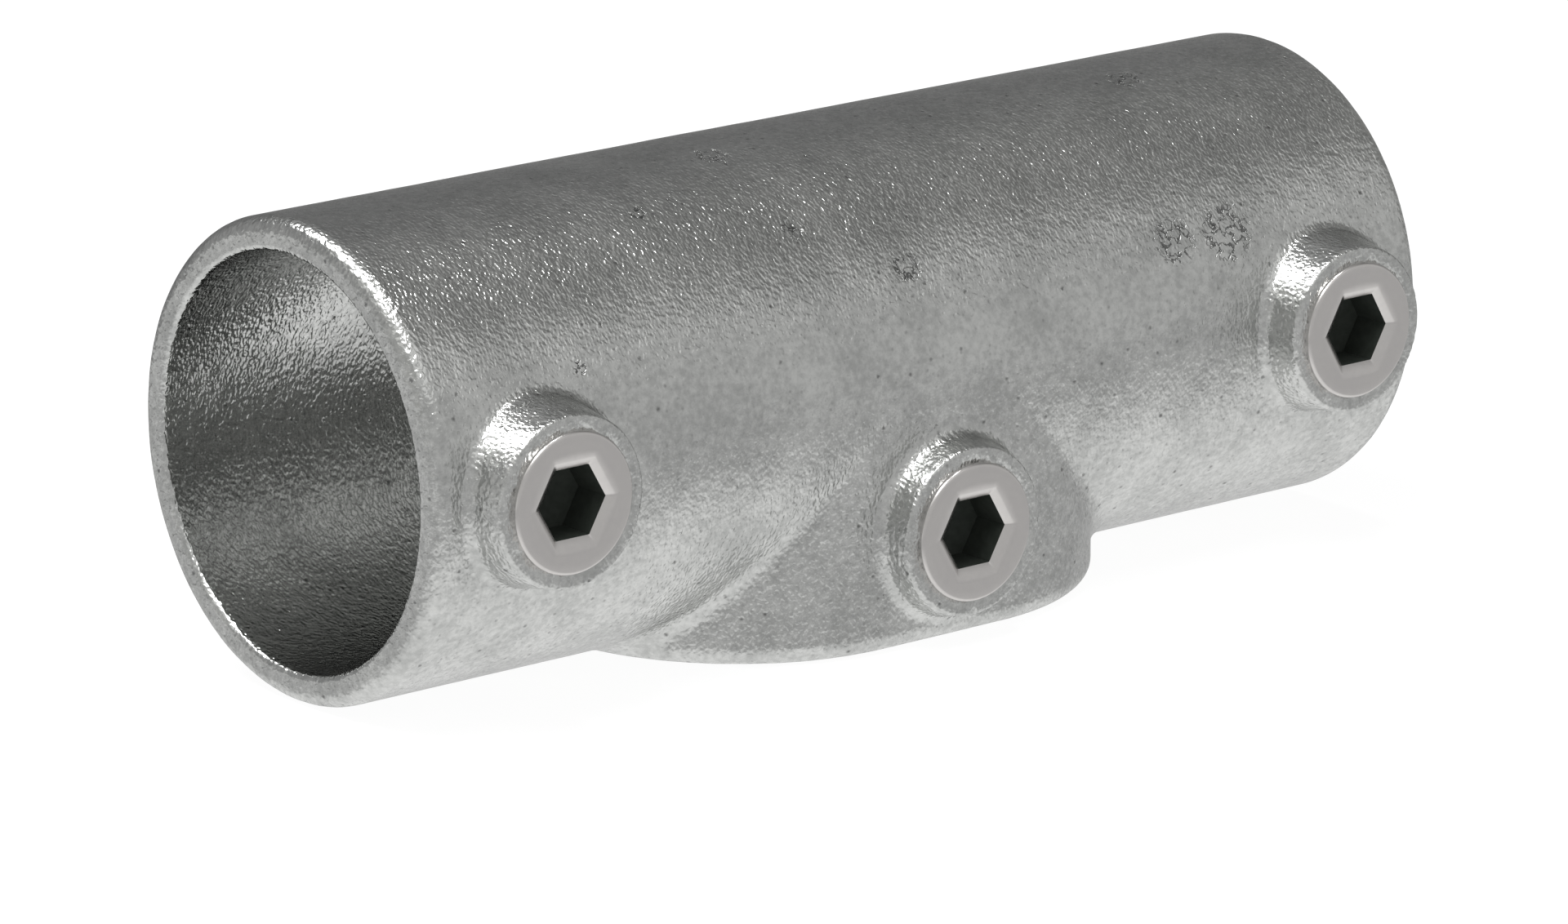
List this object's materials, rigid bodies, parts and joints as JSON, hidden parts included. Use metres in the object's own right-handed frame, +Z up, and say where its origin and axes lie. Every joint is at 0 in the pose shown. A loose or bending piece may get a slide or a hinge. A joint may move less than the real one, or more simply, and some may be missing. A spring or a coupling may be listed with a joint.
{
  "type": "tube clamp tee fitting",
  "caption": "Galvanised cast tube clamp tee: a long round sleeve with an oblong branch socket below it and socket set screws in round bosses.",
  "frame": {"origin": "on the axis of the sleeve's bore, halfway along the sleeve", "axes": "+X along the sleeve, +Z up, away from the branch socket's mouth, and the set screws face -Y"},
  "size_m": [0.15, 0.0624, 0.057],
  "materials": {
    "galvanised_casting": "hot-dip galvanised, satin, with a fine cast texture",
    "screw_steel": "smooth zinc-plated, satin"
  },
  "bodies": {
    "root": {"casting": "galvanised_casting", "set_screw_left": "screw_steel", "set_screw_right": "screw_steel", "set_screw_branch": "screw_steel"}
  },
  "joints": []
}
